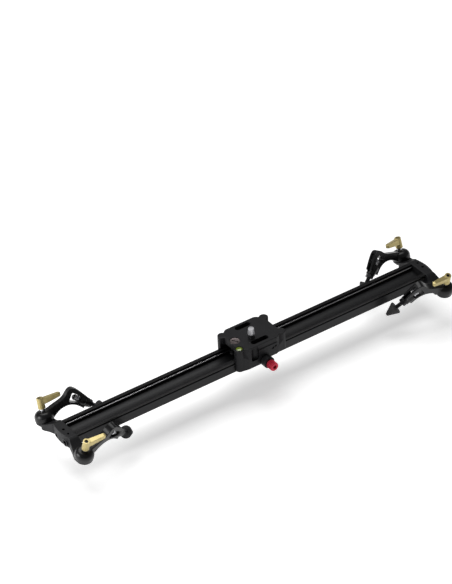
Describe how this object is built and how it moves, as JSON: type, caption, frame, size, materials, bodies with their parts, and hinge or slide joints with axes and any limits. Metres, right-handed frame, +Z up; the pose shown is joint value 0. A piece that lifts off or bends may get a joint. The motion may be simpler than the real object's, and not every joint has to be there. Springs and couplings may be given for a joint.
{
  "type": "camera slider",
  "caption": "Channelled aluminium rail with a rolling camera carriage, a side locking knob, and folding clamped legs with screw-adjusted rubber feet at both ends.",
  "frame": {"origin": "on the rail's flat underside, at the middle of its length and width", "axes": "+X along the rail, +Y to the back, away from the locking knob, +Z up, out of the carriage's camera plate"},
  "size_m": [0.813, 0.1627, 0.0833],
  "materials": {
    "anodised": "black anodised, satin",
    "cast": "black blasted and anodised, matt",
    "steel": "bright turned",
    "dark_steel": "black oxide",
    "gold": "champagne gold, satin",
    "red": "red anodised, satin",
    "rubber": "matt",
    "nylon": "matt",
    "vial": "clear, tinted liquid"
  },
  "bodies": {
    "base": {"rail": "anodised", "guide_rod_rear": "steel", "guide_rod_front": "steel", "left_end_bracket": "cast", "left_bracket_screw_1": "dark_steel", "left_bracket_screw_2": "dark_steel", "right_end_bracket": "cast", "right_bracket_screw_1": "dark_steel", "right_bracket_screw_2": "dark_steel"},
    "carriage": {"carriage_body": "cast", "lock_block": "cast", "lock_block_screw_1": "dark_steel", "lock_block_screw_2": "dark_steel", "lock_collar": "cast", "slotted_disc": "steel", "level_ring": "cast", "bubble_level": "vial", "roller_axle_1": "dark_steel", "roller_axle_2": "dark_steel", "roller_axle_3": "dark_steel", "roller_axle_4": "dark_steel"},
    "roller_1": {"roller_1": "dark_steel"},
    "roller_2": {"roller_2": "dark_steel"},
    "roller_3": {"roller_3": "dark_steel"},
    "roller_4": {"roller_4": "dark_steel"},
    "lock_pad": {"lock_pad": "nylon"},
    "lock_knob": {"lock_knob": "red", "lock_screw": "steel"},
    "camera_screw": {"camera_screw": "steel"},
    "rear_left_leg": {"rear_left_leg_arm": "cast"},
    "rear_left_lever": {"rear_left_clamp_stud": "steel", "rear_left_clamp_lever": "gold"},
    "rear_left_thumb_nut": {"rear_left_thumb_nut": "steel"},
    "rear_left_lock_nut": {"rear_left_lock_nut": "dark_steel"},
    "rear_left_foot": {"rear_left_foot_rod": "dark_steel", "rear_left_rubber_foot": "rubber"},
    "rear_right_leg": {"rear_right_leg_arm": "cast"},
    "rear_right_lever": {"rear_right_clamp_stud": "steel", "rear_right_clamp_lever": "gold"},
    "rear_right_thumb_nut": {"rear_right_thumb_nut": "steel"},
    "rear_right_lock_nut": {"rear_right_lock_nut": "dark_steel"},
    "rear_right_foot": {"rear_right_foot_rod": "dark_steel", "rear_right_rubber_foot": "rubber"},
    "front_left_leg": {"front_left_leg_arm": "cast"},
    "front_left_lever": {"front_left_clamp_stud": "steel", "front_left_clamp_lever": "gold"},
    "front_left_thumb_nut": {"front_left_thumb_nut": "steel"},
    "front_left_lock_nut": {"front_left_lock_nut": "dark_steel"},
    "front_left_foot": {"front_left_foot_rod": "dark_steel", "front_left_rubber_foot": "rubber"},
    "front_right_leg": {"front_right_leg_arm": "cast"},
    "front_right_lever": {"front_right_clamp_stud": "steel", "front_right_clamp_lever": "gold"},
    "front_right_thumb_nut": {"front_right_thumb_nut": "steel"},
    "front_right_lock_nut": {"front_right_lock_nut": "dark_steel"},
    "front_right_foot": {"front_right_foot_rod": "dark_steel", "front_right_rubber_foot": "rubber"}
  },
  "joints": [
    {"name": "carriage_slide", "type": "slide", "parent": "base", "child": "carriage", "axis": [1, 0, 0], "range_m": [-0.2, 0.2]},
    {"name": "roller_1_spin", "type": "hinge", "parent": "carriage", "child": "roller_1", "pos_m": [0.04, 0.01, 0.0165], "axis": [0, 0, 1], "range_deg": [-2400, 2400]},
    {"name": "roller_2_spin", "type": "hinge", "parent": "carriage", "child": "roller_2", "pos_m": [-0.028, 0.01, 0.0165], "axis": [0, 0, 1], "range_deg": [-2400, 2400]},
    {"name": "roller_3_spin", "type": "hinge", "parent": "carriage", "child": "roller_3", "pos_m": [-0.028, -0.01, 0.0165], "axis": [0, 0, 1], "range_deg": [-2400, 2400]},
    {"name": "roller_4_spin", "type": "hinge", "parent": "carriage", "child": "roller_4", "pos_m": [0.04, -0.01, 0.0165], "axis": [0, 0, 1], "range_deg": [-2400, 2400]},
    {"name": "camera_screw_turn", "type": "hinge", "parent": "carriage", "child": "camera_screw", "pos_m": [-0.0014, -0.0107, 0.05], "axis": [0, 0, 1], "continuous": true},
    {"name": "lock_pad_slide", "type": "slide", "parent": "carriage", "child": "lock_pad", "axis": [0, -1, 0], "range_m": [0, 0.0016]},
    {"name": "lock_knob_turn", "type": "hinge", "parent": "lock_pad", "child": "lock_knob", "pos_m": [0.008, -0.058, 0.0105], "axis": [0, -1, 0], "range_deg": [0, 720]},
    {"name": "rear_left_leg_swing", "type": "hinge", "parent": "base", "child": "rear_left_leg", "pos_m": [-0.3895, 0.064, 0.009], "axis": [0, 0.2924, 0.9563], "range_deg": [0, 110]},
    {"name": "rear_left_lever_turn", "type": "hinge", "parent": "base", "child": "rear_left_lever", "pos_m": [-0.3895, 0.064, 0.009], "axis": [0, 0.2924, 0.9563], "range_deg": [-180, 180]},
    {"name": "rear_left_thumb_nut_turn", "type": "hinge", "parent": "rear_left_leg", "child": "rear_left_thumb_nut", "pos_m": [-0.3332, 0.06132, 0.03073], "axis": [0.7454, -0.3047, -0.5929], "range_deg": [-1730, 1730]},
    {"name": "rear_left_lock_nut_turn", "type": "hinge", "parent": "rear_left_leg", "child": "rear_left_lock_nut", "pos_m": [-0.3332, 0.06132, 0.03073], "axis": [0.7454, -0.3047, -0.5929], "range_deg": [-1730, 1730]},
    {"name": "rear_left_foot_slide", "type": "slide", "parent": "rear_left_leg", "child": "rear_left_foot", "axis": [0.7454, -0.3047, -0.5929], "range_m": [-0.006, 0.006]},
    {"name": "rear_right_leg_swing", "type": "hinge", "parent": "base", "child": "rear_right_leg", "pos_m": [0.3895, 0.064, 0.009], "axis": [0, -0.2924, -0.9563], "range_deg": [0, 110]},
    {"name": "rear_right_lever_turn", "type": "hinge", "parent": "base", "child": "rear_right_lever", "pos_m": [0.3895, 0.064, 0.009], "axis": [0, 0.2924, 0.9563], "range_deg": [-180, 180]},
    {"name": "rear_right_thumb_nut_turn", "type": "hinge", "parent": "rear_right_leg", "child": "rear_right_thumb_nut", "pos_m": [0.3332, 0.06132, 0.03073], "axis": [-0.7454, -0.3047, -0.5929], "range_deg": [-1730, 1730]},
    {"name": "rear_right_lock_nut_turn", "type": "hinge", "parent": "rear_right_leg", "child": "rear_right_lock_nut", "pos_m": [0.3332, 0.06132, 0.03073], "axis": [-0.7454, -0.3047, -0.5929], "range_deg": [-1730, 1730]},
    {"name": "rear_right_foot_slide", "type": "slide", "parent": "rear_right_leg", "child": "rear_right_foot", "axis": [-0.7454, -0.3047, -0.5929], "range_m": [-0.006, 0.006]},
    {"name": "front_left_leg_swing", "type": "hinge", "parent": "base", "child": "front_left_leg", "pos_m": [-0.3895, -0.064, 0.009], "axis": [0, 0.2924, -0.9563], "range_deg": [0, 110]},
    {"name": "front_left_lever_turn", "type": "hinge", "parent": "base", "child": "front_left_lever", "pos_m": [-0.3895, -0.064, 0.009], "axis": [0, -0.2924, 0.9563], "range_deg": [-180, 180]},
    {"name": "front_left_thumb_nut_turn", "type": "hinge", "parent": "front_left_leg", "child": "front_left_thumb_nut", "pos_m": [-0.3332, -0.06132, 0.03073], "axis": [0.7454, 0.3047, -0.5929], "range_deg": [-1730, 1730]},
    {"name": "front_left_lock_nut_turn", "type": "hinge", "parent": "front_left_leg", "child": "front_left_lock_nut", "pos_m": [-0.3332, -0.06132, 0.03073], "axis": [0.7454, 0.3047, -0.5929], "range_deg": [-1730, 1730]},
    {"name": "front_left_foot_slide", "type": "slide", "parent": "front_left_leg", "child": "front_left_foot", "axis": [0.7454, 0.3047, -0.5929], "range_m": [-0.006, 0.006]},
    {"name": "front_right_leg_swing", "type": "hinge", "parent": "base", "child": "front_right_leg", "pos_m": [0.3895, -0.064, 0.009], "axis": [0, -0.2924, 0.9563], "range_deg": [0, 110]},
    {"name": "front_right_lever_turn", "type": "hinge", "parent": "base", "child": "front_right_lever", "pos_m": [0.3895, -0.064, 0.009], "axis": [0, -0.2924, 0.9563], "range_deg": [-180, 180]},
    {"name": "front_right_thumb_nut_turn", "type": "hinge", "parent": "front_right_leg", "child": "front_right_thumb_nut", "pos_m": [0.3332, -0.06132, 0.03073], "axis": [-0.7454, 0.3047, -0.5929], "range_deg": [-1730, 1730]},
    {"name": "front_right_lock_nut_turn", "type": "hinge", "parent": "front_right_leg", "child": "front_right_lock_nut", "pos_m": [0.3332, -0.06132, 0.03073], "axis": [-0.7454, 0.3047, -0.5929], "range_deg": [-1730, 1730]},
    {"name": "front_right_foot_slide", "type": "slide", "parent": "front_right_leg", "child": "front_right_foot", "axis": [-0.7454, 0.3047, -0.5929], "range_m": [-0.006, 0.006]}
  ],
  "couplings": [
    {"joint": "roller_1_spin", "follows": "carriage_slide", "rad_per_m": 208.33},
    {"joint": "roller_2_spin", "follows": "carriage_slide", "rad_per_m": 208.33},
    {"joint": "roller_3_spin", "follows": "carriage_slide", "rad_per_m": -208.33},
    {"joint": "roller_4_spin", "follows": "carriage_slide", "rad_per_m": -208.33},
    {"joint": "lock_knob_turn", "follows": "lock_pad_slide", "rad_per_m": 7853.9},
    {"joint": "rear_left_thumb_nut_turn", "follows": "rear_left_foot_slide", "rad_per_m": -5026.5},
    {"joint": "rear_left_lock_nut_turn", "follows": "rear_left_foot_slide", "rad_per_m": -5026.5},
    {"joint": "rear_right_thumb_nut_turn", "follows": "rear_right_foot_slide", "rad_per_m": -5026.5},
    {"joint": "rear_right_lock_nut_turn", "follows": "rear_right_foot_slide", "rad_per_m": -5026.5},
    {"joint": "front_left_thumb_nut_turn", "follows": "front_left_foot_slide", "rad_per_m": -5026.5},
    {"joint": "front_left_lock_nut_turn", "follows": "front_left_foot_slide", "rad_per_m": -5026.5},
    {"joint": "front_right_thumb_nut_turn", "follows": "front_right_foot_slide", "rad_per_m": -5026.5},
    {"joint": "front_right_lock_nut_turn", "follows": "front_right_foot_slide", "rad_per_m": -5026.5}
  ]
}
